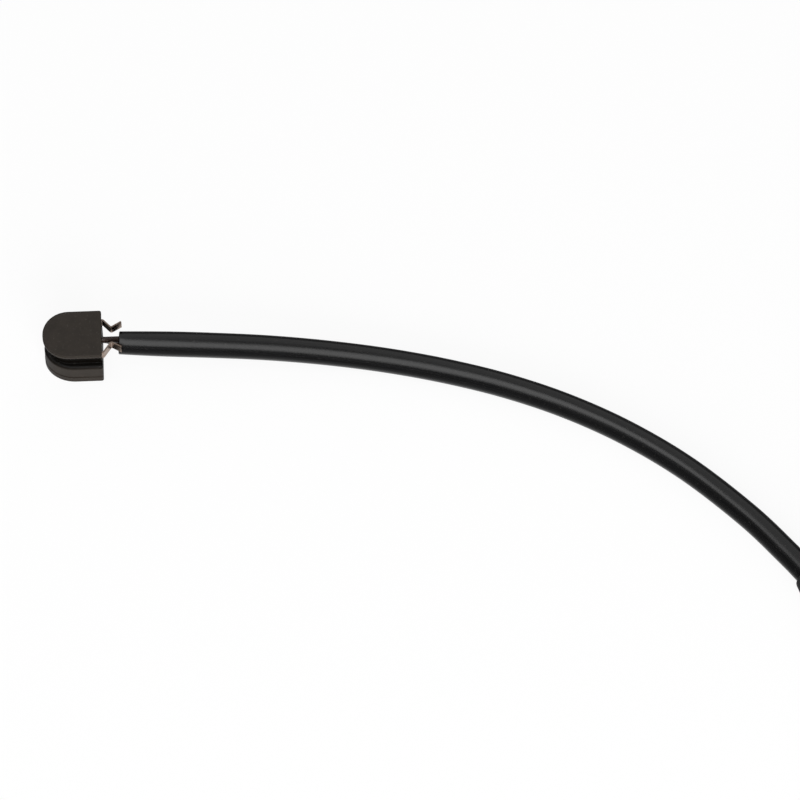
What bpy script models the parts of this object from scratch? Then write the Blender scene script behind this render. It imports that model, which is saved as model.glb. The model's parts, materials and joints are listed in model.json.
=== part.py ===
"""Brake pad wear sensor: clip-in head, sleeved lead, rubber grommet and two-way sealed connector.

Metres, +Z up.  The wear block stands on its base, centred on the origin, and the lead leaves along +X.
"""

import math

import bmesh
import bpy
from mathutils import Matrix, Vector

# General fits and finish
CLEARANCE = 0.0003
EDGE_RADIUS = 0.0002
EDGE_STEPS = 3
CUT_OVERRUN = 0.001
LARGE_SIDES = 32
ROUND_SIDES = 24
BORE_SIDES = 16
WIRE_BEVEL_RESOLUTION = 3
THIN_BEVEL_RESOLUTION = 2
SMOOTH_ANGLE = math.radians(35)
STRIP_SMOOTH_ANGLE = math.radians(25)
WELD_DISTANCE = 1e-7

# Moulded head: wear block below, groove for the pad's backing plate, thin retaining flange above
BLOCK_LENGTH = 0.0156
BLOCK_WIDTH = 0.0140
BLOCK_HEIGHT = 0.00695
BLOCK_NOSE_LENGTH = 0.0083
BLOCK_SHOULDER_RADIUS = 0.0008
SKIRT_HEIGHT = 0.0021
SKIRT_STEP = 0.0001
PLATE_GROOVE_HEIGHT = 0.0051
GROOVE_SIDE_DEPTH = 0.0018
GROOVE_NOSE_DEPTH = 0.0020
FLANGE_LENGTH = 0.0158
FLANGE_WIDTH = 0.0141
FLANGE_THICKNESS = 0.00125
FLANGE_NOSE_LENGTH = 0.0069
FLANGE_NOSE_FLAT = 0.0004
CORNER_RADIUS = 0.0005
NOSE_STEPS = 12
CORNER_STEPS = 3

# Spring strip bent round the neck of the head, with two flared ends behind it
STRIP_WIDTH = 0.0028
STRIP_THICKNESS = 0.0004
STRIP_CHANNEL_DEPTH = 0.00075
STRIP_STRAIGHT_BEHIND = 0.0004
LEG_WAIST_BEHIND = 0.0025
LEG_WAIST_HALF_GAP = 0.00225
LEG_END_BEHIND = 0.00525
LEG_END_HALF_GAP = 0.0039
LEG_BEND_RADIUS = 0.0005
LEG_SWAY = 0.0004
FILLET_STEPS = 5

# Insulated wires, crimp splices and the bare contact loop moulded into the wear block
WIRE_DIAMETER = 0.0017
WIRE_SPACING = 0.0026
WIRE_PAIR_TILT = math.radians(30)
WIRE_PAIR_HEIGHT = 0.0027
WIRE_DEPTH_IN_HEAD = 0.0061
CONDUCTOR_DIAMETER = 0.0008
CONDUCTOR_BARE_LENGTH = 0.0012
CONDUCTOR_SHOULDER = 0.00002
WIRE_STEP = 0.0008
WIRE_STRAIGHT_SHARE = 0.15
WIRE_MIDDLE_SHARE = 0.55
WIRE_A_IN_MOUTH = (0.0001, 0.0016)
WIRE_B_IN_MOUTH = (0.0004, -0.0005)
TAIL_WIRE_STEP = 0.0012
SPLICE_DIAMETER = 0.0017
SPLICE_LENGTH = 0.0034
SPLICE_SOCKET_DEPTH = 0.0014
LOOP_DROP_AHEAD = 0.0018
LOOP_HALF_WIDTH = 0.0022
LOOP_ABOVE_FACE = 0.0022
LOOP_SHOULDER_HEIGHT = 0.0050
LOOP_FOOT_SHARE = 0.8
LOOP_STEP = 0.0009

# Lead sleeve
SLEEVE_DIAMETER = 0.0067
SLEEVE_MOUTH_DIAMETER = 0.0062
SLEEVE_SWELL_DIAMETER = 0.00685
SLEEVE_SWELL_AT = 0.018
SLEEVE_SWELL_END = 0.060
SLEEVE_STEP = 0.0085
TAIL_STEP = 0.0045
TUBE_BEVEL_RESOLUTION = 4

# Rubber grommet on the lead
GROMMET_FLANGE_DIAMETER = 0.0120
GROMMET_WAIST_DIAMETER = 0.0092
GROMMET_TIP_DIAMETER = 0.0083
GROMMET_FLANGE_LENGTH = 0.0020
GROMMET_WAIST_LENGTH = 0.0030
GROMMET_CONE_LENGTH = 0.0045
GROMMET_EDGE = 0.0004

# Coil of the spare lead and its two ties
COIL_CENTRE = Vector((0.2431, -0.0732, 0.0))
COIL_MEAN_RADIUS = 0.0330
TIE_PROFILE_STEPS = 8
TURN_PROFILE_STEPS = 10
TURN_NECK_ANGLE = math.radians(150)
COIL_STEPS = 48
TIE_BAND_THICKNESS = 0.0010
TIE_BAND_WIDTH = 0.0035
TIE_HEAD_SIZE = (0.0052, 0.0046, 0.0034)
TIE_TAIL_LENGTH = 0.0030
TIE_TAIL_SHARE = 0.6
TIE_ANGLES = (math.radians(58), math.radians(150))
LEAD_IN_FROM = math.radians(-142)
LEAD_IN_TO = math.radians(-104)
LEAD_IN_STEPS = 5
TAIL_FROM = math.radians(-70)
TAIL_ARC_STEPS = 5
TAIL_DOWN_FROM = 0.0145
TAIL_DOWN_STEPS = 6

# Connector, along its own +X from the strain relief to the nose
BOOT_BEYOND_COIL = 0.0425
BOOT_LENGTH = 0.0160
BOOT_SMALL_DIAMETER = 0.0086
BOOT_LARGE_DIAMETER = 0.0122
BOOT_SLEEVE_SEAT = 0.0100
BOOT_GROOVES = 4
BOOT_FIRST_GROOVE = 0.6
BOOT_GROOVE_WIDTH = 0.0009
BOOT_GROOVE_DEPTH = 0.00045
SLEEVE_IN_BOOT = 0.0085
SPIGOT_DIAMETER = 0.0096
SPIGOT_BORE = 0.0080
SPIGOT_LENGTH = 0.0046
COVER_THICKNESS = 0.0030
COVER_WEB = 0.0016
CONNECTOR_WIDTH = 0.0150
CONNECTOR_HEIGHT = 0.0130
CONNECTOR_CORNER = 0.0022
HOUSING_LENGTH = 0.0120
NOSE_LENGTH = 0.0084
NOSE_WIDTH = 0.0116
NOSE_HEIGHT = 0.0084
NOSE_CORNER = 0.0018
TERMINAL_PITCH = 0.0052
TERMINAL_DIAMETER = 0.0028
TERMINAL_LENGTH = 0.0119
TERMINAL_SOCKET_DIAMETER = 0.0015
TERMINAL_SOCKET_DEPTH = 0.0060
TERMINAL_CRIMP_DEPTH = 0.0030
WIRE_SEAL_LENGTH = 0.0050
WIRE_SEAL_DIAMETER = 0.0042
WIRE_SEAL_RIBS = 3
RIB_HEIGHT = 0.00025
RIB_CREST_FROM = 0.3
RIB_CREST_TO = 0.7
LOCK_WIDTH = 0.0090
LOCK_HEIGHT = 0.0058
LOCK_THICKNESS = 0.0014
LOCK_CORNER = 0.0010
PIN_HOLE_DIAMETER = 0.0019
RING_SEAL_LENGTH = 0.0030
RING_SEAL_SETBACK = 0.0006
RING_SEAL_THICKNESS = 0.0012
RING_SEAL_RIBS = 2
LATCH_WIDTH = 0.0052
LATCH_LENGTH = 0.0105
LATCH_THICKNESS = 0.0011
LATCH_GAP = 0.0010
LATCH_ROOT_LENGTH = 0.0018
LATCH_HOOK_HEIGHT = 0.0007
LATCH_PAD_LENGTH = 0.0024
GUARD_THICKNESS = 0.0011
GUARD_LENGTH = 0.0095
GUARD_SINK = 0.0004

# Chosen route of the lead from the sleeve's mouth to the grommet's far end
ROUTE = (
    (0.01235, 0.0000, 0.00780),
    (0.02000, -0.0004, 0.00753),
    (0.03600, -0.0011, 0.00673),
    (0.05200, -0.0020, 0.00570),
    (0.06810, -0.0037, 0.00472),
    (0.08410, -0.0063, 0.00394),
    (0.10000, -0.0101, 0.00352),
    (0.11590, -0.0153, 0.00344),
    (0.13170, -0.0222, 0.00342),
    (0.14730, -0.0313, 0.00364),
    (0.16270, -0.0431, 0.00415),
    (0.17790, -0.0583, 0.00498),
    (0.18790, -0.0706, 0.00565),
    (0.19310, -0.0776, 0.00600),
    (0.19780, -0.0840, 0.00600),
    (0.20255, -0.0905, 0.00600),
    (0.20560, -0.0947, 0.00570),
)
GROMMET_AT = 14

# Values worked out from the sizes above
FLANGE_FRONT = -FLANGE_LENGTH / 2
HEAD_REAR = FLANGE_LENGTH / 2
BLOCK_FRONT = HEAD_REAR - BLOCK_LENGTH
FLANGE_UNDERSIDE = BLOCK_HEIGHT + PLATE_GROOVE_HEIGHT
HEAD_HEIGHT = FLANGE_UNDERSIDE + FLANGE_THICKNESS
NECK_HALF = FLANGE_WIDTH / 2 - GROOVE_SIDE_DEPTH
NECK_FRONT = FLANGE_FRONT + GROOVE_NOSE_DEPTH
CHANNEL_BASE = FLANGE_UNDERSIDE - STRIP_WIDTH - 2 * CLEARANCE
STRIP_BASE = CHANNEL_BASE + CLEARANCE
STRIP_HALF = NECK_HALF - STRIP_CHANNEL_DEPTH + CLEARANCE + STRIP_THICKNESS / 2
COIL_BASE = TIE_BAND_THICKNESS + CLEARANCE
COIL_TUBE = SLEEVE_DIAMETER / 2
COIL_TOP = COIL_BASE + 2 * COIL_TUBE
COIL_HALF_WIDTH = 2 * COIL_TUBE


def clear_scene():
    """Removes every object that the file opened with."""
    for item in list(bpy.data.objects):
        bpy.data.objects.remove(item, do_unlink=True)


def material(name, colour, roughness, metallic=0.0):
    """A Principled BSDF in one colour."""
    made = bpy.data.materials.new(name)
    made.use_nodes = True
    shader = made.node_tree.nodes["Principled BSDF"]
    shader.inputs["Base Color"].default_value = (*colour, 1.0)
    shader.inputs["Roughness"].default_value = roughness
    shader.inputs["Metallic"].default_value = metallic
    made.diffuse_color = (*colour, 1.0)
    return made


def place(name, data, finish, parent=None):
    """Links mesh or curve data as a named object."""
    item = bpy.data.objects.new(name, data)
    bpy.context.collection.objects.link(item)
    if finish is not None:
        data.materials.append(finish)
    if parent is not None:
        item.parent = parent
    return item


def finish_mesh(name, bm, smooth_angle=SMOOTH_ANGLE):
    """Welds, orients and shades a bmesh and returns it as mesh data."""
    bmesh.ops.remove_doubles(bm, verts=bm.verts, dist=WELD_DISTANCE)
    bmesh.ops.recalc_face_normals(bm, faces=bm.faces)
    data = bpy.data.meshes.new(name)
    bm.to_mesh(data)
    bm.free()
    data.shade_smooth()
    data.set_sharp_from_angle(angle=smooth_angle)
    return data


def loft(loops, closed_ends=True):
    """Skins a list of equally long loops of points, and caps both ends or joins the last to the first."""
    bm = bmesh.new()
    rings = [[bm.verts.new(point) for point in loop] for loop in loops]
    pairs = list(zip(rings, rings[1:]))
    if closed_ends:
        bm.faces.new(rings[0])
        bm.faces.new(rings[-1])
    else:
        pairs.append((rings[-1], rings[0]))
    for lower, upper in pairs:
        count = len(lower)
        for index in range(count):
            after = (index + 1) % count
            bm.faces.new((lower[index], lower[after], upper[after], upper[index]))
    return bm


def turned(profile, sides=ROUND_SIDES, ring=False):
    """Spins a profile of (along X, radius) points round the X axis; a ring's profile is joined end to end."""
    bm = bmesh.new()
    points = [bm.verts.new((along, 0.0, radius)) for along, radius in profile]
    edges = [bm.edges.new(pair) for pair in zip(points, points[1:])]
    if ring:
        edges.append(bm.edges.new((points[-1], points[0])))
    bmesh.ops.spin(
        bm,
        geom=points + edges,
        cent=(0, 0, 0),
        axis=(1, 0, 0),
        angle=math.tau,
        steps=sides,
        use_merge=True,
    )
    return bm


def cylinder(start, end, radius, sides=BORE_SIDES):
    """A plain cylinder along X."""
    return turned([(start, 0.0), (start, radius), (end, radius), (end, 0.0)], sides)


def shift(bm, offset):
    """Moves a whole bmesh."""
    bmesh.ops.translate(bm, verts=bm.verts, vec=Vector(offset))
    return bm


def smooth_route(points, step):
    """Points every step or so along a Catmull-Rom curve through the route's points."""
    route = [Vector(point) for point in points]
    route = [2 * route[0] - route[1], *route, 2 * route[-1] - route[-2]]
    out = []
    for p0, p1, p2, p3 in zip(route, route[1:], route[2:], route[3:]):
        count = max(1, round((p2 - p1).length / step))
        for index in range(count):
            t = index / count
            bend = 2 * p0 - 5 * p1 + 4 * p2 - p3
            twist = 3 * p1 - p0 - 3 * p2 + p3
            out.append(p1 + 0.5 * t * ((p2 - p0) + t * (bend + t * twist)))
    out.append(route[-2])
    return out


def tube_curve(name, points, diameter, resolution, swell=None):
    """A round tube on a poly spline with filled caps; swell gives the radius factor at a distance along it."""
    data = bpy.data.curves.new(name, "CURVE")
    data.dimensions = "3D"
    data.bevel_depth = diameter / 2
    data.bevel_resolution = resolution
    data.use_fill_caps = True
    spline = data.splines.new("POLY")
    spline.points.add(len(points) - 1)
    travelled = 0.0
    previous = points[0]
    for target, point in zip(spline.points, points):
        travelled += (point - previous).length
        previous = point
        target.co = (*point, 1.0)
        target.radius = swell(travelled) if swell else 1.0
    return data


def swept_mesh(name, points, diameter, resolution):
    """The closed mesh of a round tube along the points, for a cutter."""
    guide = place(name + "_guide", tube_curve(name, points, diameter, resolution), None)
    graph = bpy.context.evaluated_depsgraph_get()
    bm = bmesh.new()
    bm.from_mesh(bpy.data.meshes.new_from_object(guide.evaluated_get(graph)))
    bpy.data.objects.remove(guide, do_unlink=True)
    return finish_mesh(name, bm)


def as_tool(name, data, parent=None):
    """Marks an object as a cutter or a filler for a Boolean."""
    tool = place(name, data, None, parent)
    tool.hide_render = True
    tool.display_type = "WIRE"
    return tool


def combine(target, tool, operation):
    """Adds an exact Boolean to the target."""
    change = target.modifiers.new(tool.name, "BOOLEAN")
    change.operation = operation
    change.solver = "EXACT"
    change.object = tool


def arc(centre, radii, start, end, steps):
    """Points along an elliptical arc, both ends included."""
    return [
        (
            centre[0] + radii[0] * math.cos(start + (end - start) * index / steps),
            centre[1] + radii[1] * math.sin(start + (end - start) * index / steps),
        )
        for index in range(steps + 1)
    ]


def filleted(corners, steps=FILLET_STEPS):
    """A flat polyline whose inner corners (x, y, radius) are rounded."""
    out = [Vector(corners[0][:2])]
    for before, corner, after in zip(corners, corners[1:], corners[2:]):
        here = Vector(corner[:2])
        back = (Vector(before[:2]) - here).normalized()
        ahead = (Vector(after[:2]) - here).normalized()
        half = back.angle(ahead) / 2
        reach = corner[2] / math.tan(half)
        centre = here + (back + ahead).normalized() * corner[2] / math.sin(half)
        first = here + back * reach - centre
        turn = first.angle_signed(here + ahead * reach - centre)
        for index in range(steps + 1):
            spoke = first.copy()
            spoke.rotate(Matrix.Rotation(-turn * index / steps, 2))
            out.append(centre + spoke)
    out.append(Vector(corners[-1][:2]))
    return out


def head_outline(front, half, nose, nose_flat, inset=0.0, rear_inset=0.0):
    """Plan of the head at one level: square behind, a half oval in front, drawn in by the insets."""
    front += inset
    rear = HEAD_REAR - rear_inset
    half -= inset
    nose = max(nose - inset, EDGE_RADIUS)
    flat = nose_flat / 2
    corner = max(CORNER_RADIUS - inset, CORNER_RADIUS / 4)
    right = math.radians(90)
    outline = arc((rear - corner, half - corner), (corner, corner), 0.0, right, CORNER_STEPS)
    outline += arc((front + nose, flat), (nose, half - flat), right, 2 * right, NOSE_STEPS)
    outline += arc((front + nose, -flat), (nose, half - flat), 2 * right, 3 * right, NOSE_STEPS)
    outline += arc((rear - corner, corner - half), (corner, corner), 3 * right, 4 * right, CORNER_STEPS)
    return outline


def rounding(radius, steps):
    """Pairs of (depth below the top, inset) down a quarter-round edge, from the top face outwards."""
    quarter = math.radians(90)
    return [
        (radius * (1 - math.sin(quarter - quarter * i / steps)), radius * (1 - math.sin(quarter * i / steps)))
        for i in range(steps + 1)
    ]


def build_head(plastic):
    """The moulded head, lofted level by level, with the channels for the wires and the contact loop."""
    block = (BLOCK_FRONT, BLOCK_WIDTH / 2, BLOCK_NOSE_LENGTH, 0.0)
    skirt = (BLOCK_FRONT - SKIRT_STEP / 2, BLOCK_WIDTH / 2 + SKIRT_STEP, BLOCK_NOSE_LENGTH, 0.0)
    neck = (NECK_FRONT, NECK_HALF, NECK_HALF, 0.0)
    seat_half = NECK_HALF - STRIP_CHANNEL_DEPTH
    strip_seat = (NECK_FRONT + STRIP_CHANNEL_DEPTH, seat_half, seat_half, 0.0)
    flange = (FLANGE_FRONT, FLANGE_WIDTH / 2, FLANGE_NOSE_LENGTH, FLANGE_NOSE_FLAT)
    fine = rounding(EDGE_RADIUS, EDGE_STEPS)
    broad = rounding(BLOCK_SHOULDER_RADIUS, EDGE_STEPS + 1)
    wear_block = [(depth, skirt, inset, inset) for depth, inset in fine]
    wear_block += [(SKIRT_HEIGHT, skirt, 0.0, 0.0), (SKIRT_HEIGHT + SKIRT_STEP, block, 0.0, 0.0)]
    wear_block += [(BLOCK_HEIGHT - depth, block, inset, 0.0) for depth, inset in reversed(broad)]
    neck_post = [(BLOCK_HEIGHT - CUT_OVERRUN, neck, 0.0, 0.0), (CHANNEL_BASE, neck, 0.0, 0.0)]
    seat_post = [(CHANNEL_BASE - CUT_OVERRUN, strip_seat, 0.0, 0.0)]
    seat_post += [(FLANGE_UNDERSIDE + FLANGE_THICKNESS / 2, strip_seat, 0.0, 0.0)]
    flange_plate = [(FLANGE_UNDERSIDE + depth, flange, inset, 0.0) for depth, inset in fine]
    flange_plate += [(HEAD_HEIGHT - depth, flange, inset, inset) for depth, inset in reversed(fine)]
    head = place("head_body", head_solid("head_body", wear_block), plastic)
    for name, levels in (("neck", neck_post), ("strip_seat", seat_post), ("flange", flange_plate)):
        combine(head, as_tool(f"add_{name}", head_solid(name, levels)), "UNION")
    for tool in head_cutters():
        combine(head, tool, "DIFFERENCE")
    return head


def head_solid(name, levels):
    """Lofts one part of the head from its levels (height, shape, inset, inset at the rear)."""
    loops = [[(x, y, z) for x, y in head_outline(*shape, *insets)] for z, shape, *insets in levels]
    return finish_mesh(name, loft(loops))


def wire_exits():
    """Where the two wires' centre lines leave the head's rear face."""
    middle = BLOCK_HEIGHT + WIRE_PAIR_HEIGHT
    across = WIRE_SPACING / 2 * math.sin(WIRE_PAIR_TILT)
    upward = WIRE_SPACING / 2 * math.cos(WIRE_PAIR_TILT)
    return (Vector((HEAD_REAR, -across, middle + upward)), Vector((HEAD_REAR, across, middle - upward)))


def splice_rears():
    """Where the splices' rear faces stand, on the wires' centre lines."""
    return [
        exit_point - Vector((WIRE_DEPTH_IN_HEAD + CLEARANCE, 0, 0)) for exit_point in wire_exits()
    ]


def loop_route():
    """Centre line of the contact loop, from inside one splice round the wear block to the other."""
    upper, lower = (rear - Vector((SPLICE_LENGTH, 0, 0)) for rear in splice_rears())
    seat = Vector((SPLICE_SOCKET_DEPTH - CLEARANCE, 0, 0))
    front = upper.x - LOOP_DROP_AHEAD
    ahead = Vector((CONDUCTOR_DIAMETER, 0, 0))
    foot = LOOP_HALF_WIDTH * LOOP_FOOT_SHARE
    middle = [
        Vector((front, -LOOP_HALF_WIDTH, LOOP_SHOULDER_HEIGHT)),
        Vector((front, -foot, LOOP_ABOVE_FACE + CONDUCTOR_DIAMETER)),
        Vector((front, 0.0, LOOP_ABOVE_FACE)),
        Vector((front, foot, LOOP_ABOVE_FACE + CONDUCTOR_DIAMETER)),
        Vector((front, LOOP_HALF_WIDTH, LOOP_SHOULDER_HEIGHT)),
    ]
    route = [upper + seat, upper, upper - ahead, *middle, lower - ahead, lower, lower + seat]
    return smooth_route(route, LOOP_STEP)


def head_cutters():
    """Cutters for the two bores that take the splices and wires, and for the loop's channel."""
    tools = []
    bore = WIRE_DIAMETER / 2 + CLEARANCE
    depth = WIRE_DEPTH_IN_HEAD + SPLICE_LENGTH + 2 * CLEARANCE
    for index, exit_point in enumerate(wire_exits()):
        data = finish_mesh("wire_bore", shift(cylinder(-depth, CUT_OVERRUN, bore), exit_point))
        tools.append(as_tool(f"cut_wire_bore_{index}", data))
    room = CONDUCTOR_DIAMETER + 2 * CLEARANCE
    channel = swept_mesh("loop_channel", loop_route(), room, THIN_BEVEL_RESOLUTION)
    tools.append(as_tool("cut_loop_channel", channel))
    return tools


def build_spring(steel):
    """The spring strip: a U round the neck, waisted and flared behind it, both legs swayed one way."""
    nose_centre = NECK_FRONT + NECK_HALF
    quarter = math.radians(90)
    nose = arc((nose_centre, 0.0), (STRIP_HALF, STRIP_HALF), quarter, 3 * quarter, 2 * NOSE_STEPS)
    path = spring_leg(nose_centre, LEG_SWAY)[:-1] + [Vector(point) for point in nose]
    path += [Vector((p.x, -p.y)) for p in reversed(spring_leg(nose_centre, -LEG_SWAY)[:-1])]
    outer, inner = [], []
    for index, point in enumerate(path):
        before = path[max(index - 1, 0)]
        after = path[min(index + 1, len(path) - 1)]
        along = (after - before).normalized()
        normal = Vector((-along.y, along.x)) * STRIP_THICKNESS / 2
        outer.append(point + normal)
        inner.append(point - normal)
    outline = outer + inner[::-1]
    loops = [[(p.x, p.y, z) for p in outline] for z in (STRIP_BASE, STRIP_BASE + STRIP_WIDTH)]
    return place("spring_clip", finish_mesh("spring_clip", loft(loops), STRIP_SMOOTH_ANGLE), steel)


def spring_leg(nose_centre, sway):
    """One leg of the spring in plan, from its free end to the nose, moved outwards by the sway."""
    leg = [
        (HEAD_REAR + LEG_END_BEHIND, LEG_END_HALF_GAP + sway, 0.0),
        (HEAD_REAR + LEG_WAIST_BEHIND, LEG_WAIST_HALF_GAP + sway, LEG_BEND_RADIUS),
        (HEAD_REAR + STRIP_STRAIGHT_BEHIND, STRIP_HALF, LEG_BEND_RADIUS),
        (nose_centre, STRIP_HALF, 0.0),
    ]
    return filleted(leg)


def build_contact(copper, tinned):
    """The bare contact loop and the two crimp splices that join it to the wires."""
    loop = tube_curve("contact_loop", loop_route(), CONDUCTOR_DIAMETER, THIN_BEVEL_RESOLUTION)
    place("contact_loop", loop, copper)
    socket = CONDUCTOR_DIAMETER / 2 + CLEARANCE
    barrel = SPLICE_DIAMETER / 2
    front = -SPLICE_LENGTH
    profile = [
        (-SPLICE_SOCKET_DEPTH, 0.0),
        (-SPLICE_SOCKET_DEPTH, socket),
        (0.0, socket),
        (0.0, barrel),
        (front, barrel),
        (front, socket),
        (front + SPLICE_SOCKET_DEPTH, socket),
        (front + SPLICE_SOCKET_DEPTH, 0.0),
    ]
    for name, rear in zip(("splice_a", "splice_b"), splice_rears()):
        splice = place(name, finish_mesh(name, turned(profile, BORE_SIDES)), tinned)
        splice.location = rear


def build_wires(insulation):
    """The two insulated wires from the splices to the sleeve's mouth."""
    mouth = Vector(ROUTE[0])
    half = WIRE_SPACING / 2
    seats = (WIRE_A_IN_MOUTH, WIRE_B_IN_MOUTH)
    for name, exit_point, seat in zip(("wire_a", "wire_b"), wire_exits(), seats):
        front = exit_point - Vector((WIRE_DEPTH_IN_HEAD - CLEARANCE, 0, 0))
        end = mouth + Vector((-CLEARANCE, *seat))
        reach = end.x - exit_point.x
        route = [
            front,
            exit_point - Vector((half, 0, 0)),
            exit_point + Vector((reach * WIRE_STRAIGHT_SHARE, 0, 0)),
            exit_point.lerp(end, WIRE_MIDDLE_SHARE),
            end,
        ]
        place(name, bare_end_tube(name, smooth_route(route, WIRE_STEP)), insulation)


def bare_end_tube(name, points):
    """An insulated wire whose first end is stripped to its conductor."""
    bare = CONDUCTOR_DIAMETER / WIRE_DIAMETER
    direction = (points[0] - points[1]).normalized()
    tip = points[0] + direction * CONDUCTOR_BARE_LENGTH
    step = points[0] + direction * CONDUCTOR_SHOULDER
    data = tube_curve(name, [tip, step, *points], WIRE_DIAMETER, WIRE_BEVEL_RESOLUTION)
    data.splines[0].points[0].radius = bare
    data.splines[0].points[1].radius = bare
    return data


def sleeve_swell(travelled):
    """Radius factor of the sleeve: drawn in at its mouth, slightly swollen after it."""
    mouth = SLEEVE_MOUTH_DIAMETER / SLEEVE_DIAMETER
    swollen = SLEEVE_SWELL_DIAMETER / SLEEVE_DIAMETER
    if travelled < SLEEVE_SWELL_AT:
        return mouth + (swollen - mouth) * math.sin(math.radians(90) * travelled / SLEEVE_SWELL_AT)
    if travelled < SLEEVE_SWELL_END:
        share = (travelled - SLEEVE_SWELL_AT) / (SLEEVE_SWELL_END - SLEEVE_SWELL_AT)
        return swollen + (1.0 - swollen) * share
    return 1.0


def coil_point(radius, angle, height):
    """A point at a radius and angle about the coil's centre."""
    return COIL_CENTRE + Vector((radius * math.cos(angle), radius * math.sin(angle), height))


def build_sleeve(rubber):
    """The sleeved lead: visible run, coil and the tail to the connector."""
    beside = COIL_MEAN_RADIUS + COIL_HALF_WIDTH + CLEARANCE + COIL_TUBE
    level = COIL_BASE + COIL_TUBE
    lead_in = [
        coil_point(beside, LEAD_IN_FROM + (LEAD_IN_TO - LEAD_IN_FROM) * index / LEAD_IN_STEPS, level)
        for index in range(LEAD_IN_STEPS + 1)
    ]
    run = smooth_route([*ROUTE, *lead_in], SLEEVE_STEP)
    place("sleeve", tube_curve("sleeve", run, SLEEVE_DIAMETER, TUBE_BEVEL_RESOLUTION, sleeve_swell), rubber)
    place("sleeve_coil", build_coil_mesh(level), rubber)
    tail = smooth_route(tail_route(), TAIL_STEP)
    place("sleeve_tail", tube_curve("sleeve_tail", tail, SLEEVE_DIAMETER, TUBE_BEVEL_RESOLUTION), rubber)


def build_coil_mesh(level):
    """The coil: two turns side by side and joined where they touch, turned as one ring."""
    outer = COIL_MEAN_RADIUS + COIL_TUBE
    inner = COIL_MEAN_RADIUS - COIL_TUBE
    size = (COIL_TUBE, COIL_TUBE)
    neck = TURN_NECK_ANGLE
    half = math.radians(180)
    profile = arc((outer, level), size, neck, -neck, TURN_PROFILE_STEPS)
    profile += arc((inner, level), size, neck - half, -neck - half, TURN_PROFILE_STEPS)
    bm = bmesh.new()
    points = [bm.verts.new((radius, 0.0, height)) for radius, height in profile]
    edges = [bm.edges.new(pair) for pair in zip(points, points[1:] + points[:1])]
    bmesh.ops.spin(
        bm,
        geom=points + edges,
        cent=(0, 0, 0),
        axis=(0, 0, 1),
        angle=math.tau,
        steps=COIL_STEPS,
        use_merge=True,
    )
    return finish_mesh("sleeve_coil", shift(bm, COIL_CENTRE))


def connector_axis_height():
    """Height of the connector's axis when it lies flat on the surface."""
    return CONNECTOR_HEIGHT / 2


def tail_route():
    """From the top of the coil, down past its outer turn and into the connector's strain relief."""
    over = COIL_TOP + CLEARANCE + COIL_TUBE
    axis = connector_axis_height()
    route = [
        coil_point(COIL_MEAN_RADIUS, TAIL_FROM * (1 - index / TAIL_ARC_STEPS), over)
        for index in range(TAIL_ARC_STEPS + 1)
    ]
    for index in range(TAIL_DOWN_STEPS + 1):
        share = index / TAIL_DOWN_STEPS
        ahead = TAIL_DOWN_FROM + (BOOT_BEYOND_COIL - TAIL_DOWN_FROM) * share
        height = over + (axis - over) * share * share * (3 - 2 * share)
        route.append(COIL_CENTRE + Vector((COIL_MEAN_RADIUS, ahead, height)))
    end = BOOT_BEYOND_COIL + SLEEVE_IN_BOOT
    return route + [COIL_CENTRE + Vector((COIL_MEAN_RADIUS, end, axis))]


def build_grommet(rubber):
    """The rubber grommet: two flanges with a waist between them for its bracket, tapered at both ends."""
    bore = SLEEVE_DIAMETER / 2 + CLEARANCE
    tip = GROMMET_TIP_DIAMETER / 2
    flange = GROMMET_FLANGE_DIAMETER / 2
    waist = GROMMET_WAIST_DIAMETER / 2
    half_waist = GROMMET_WAIST_LENGTH / 2
    flange_end = half_waist + GROMMET_FLANGE_LENGTH
    end = flange_end + GROMMET_CONE_LENGTH
    edge = GROMMET_EDGE
    right = [
        (half_waist, waist),
        (half_waist, flange - edge),
        (half_waist + edge, flange),
        (flange_end - edge, flange),
        (flange_end, flange - edge),
        (end - edge, tip + edge / 2),
        (end, tip),
    ]
    left = [(-along, radius) for along, radius in reversed(right)]
    profile = left + right + [(end, bore), (-end, bore)]
    grommet = place("grommet", finish_mesh("grommet", turned(profile, LARGE_SIDES, ring=True)), rubber)
    before, here, after = (Vector(ROUTE[GROMMET_AT + k]) for k in (-1, 0, 1))
    grommet.location = here
    grommet.rotation_euler = (after - before).to_track_quat("X", "Z").to_euler()


def build_ties(nylon):
    """Two cable ties round the coil: a band, its ratchet head above it and the cut end."""
    quarter = math.radians(90)
    level = COIL_BASE + COIL_TUBE
    inner = COIL_TUBE + CLEARANCE
    outer = inner + TIE_BAND_THICKNESS

    def stadium(radius):
        size = (radius, radius)
        right = arc((COIL_TUBE, level), size, -quarter, quarter, TIE_PROFILE_STEPS)
        left = arc((-COIL_TUBE, level), size, quarter, 3 * quarter, TIE_PROFILE_STEPS)
        return right + left

    half = TIE_BAND_WIDTH / 2
    loops = [
        [(x, y, z) for x, z in stadium(radius)]
        for radius, y in ((inner, -half), (outer, -half), (outer, half), (inner, half))
    ]
    length, width, height = TIE_HEAD_SIZE
    for index, angle in enumerate(TIE_ANGLES):
        name = f"coil_tie_{'ab'[index]}"
        tie = place(name, finish_mesh(name, loft(loops, closed_ends=False)), nylon)
        top = level + inner
        head = box((-length / 2, -width / 2, top + CLEARANCE / 2), (length / 2, width / 2, top + height))
        tail_top = top + height * TIE_TAIL_SHARE
        tail = box((0.0, -half, tail_top - TIE_BAND_THICKNESS), (length / 2 + TIE_TAIL_LENGTH, half, tail_top))
        for label, solid in (("head", head), ("end", tail)):
            tool = as_tool(f"{name}_{label}", finish_mesh(label, solid), tie)
            combine(tie, tool, "UNION")
        tie.location = coil_point(COIL_MEAN_RADIUS, angle, 0.0)
        tie.rotation_euler = (0.0, 0.0, angle)


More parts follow.
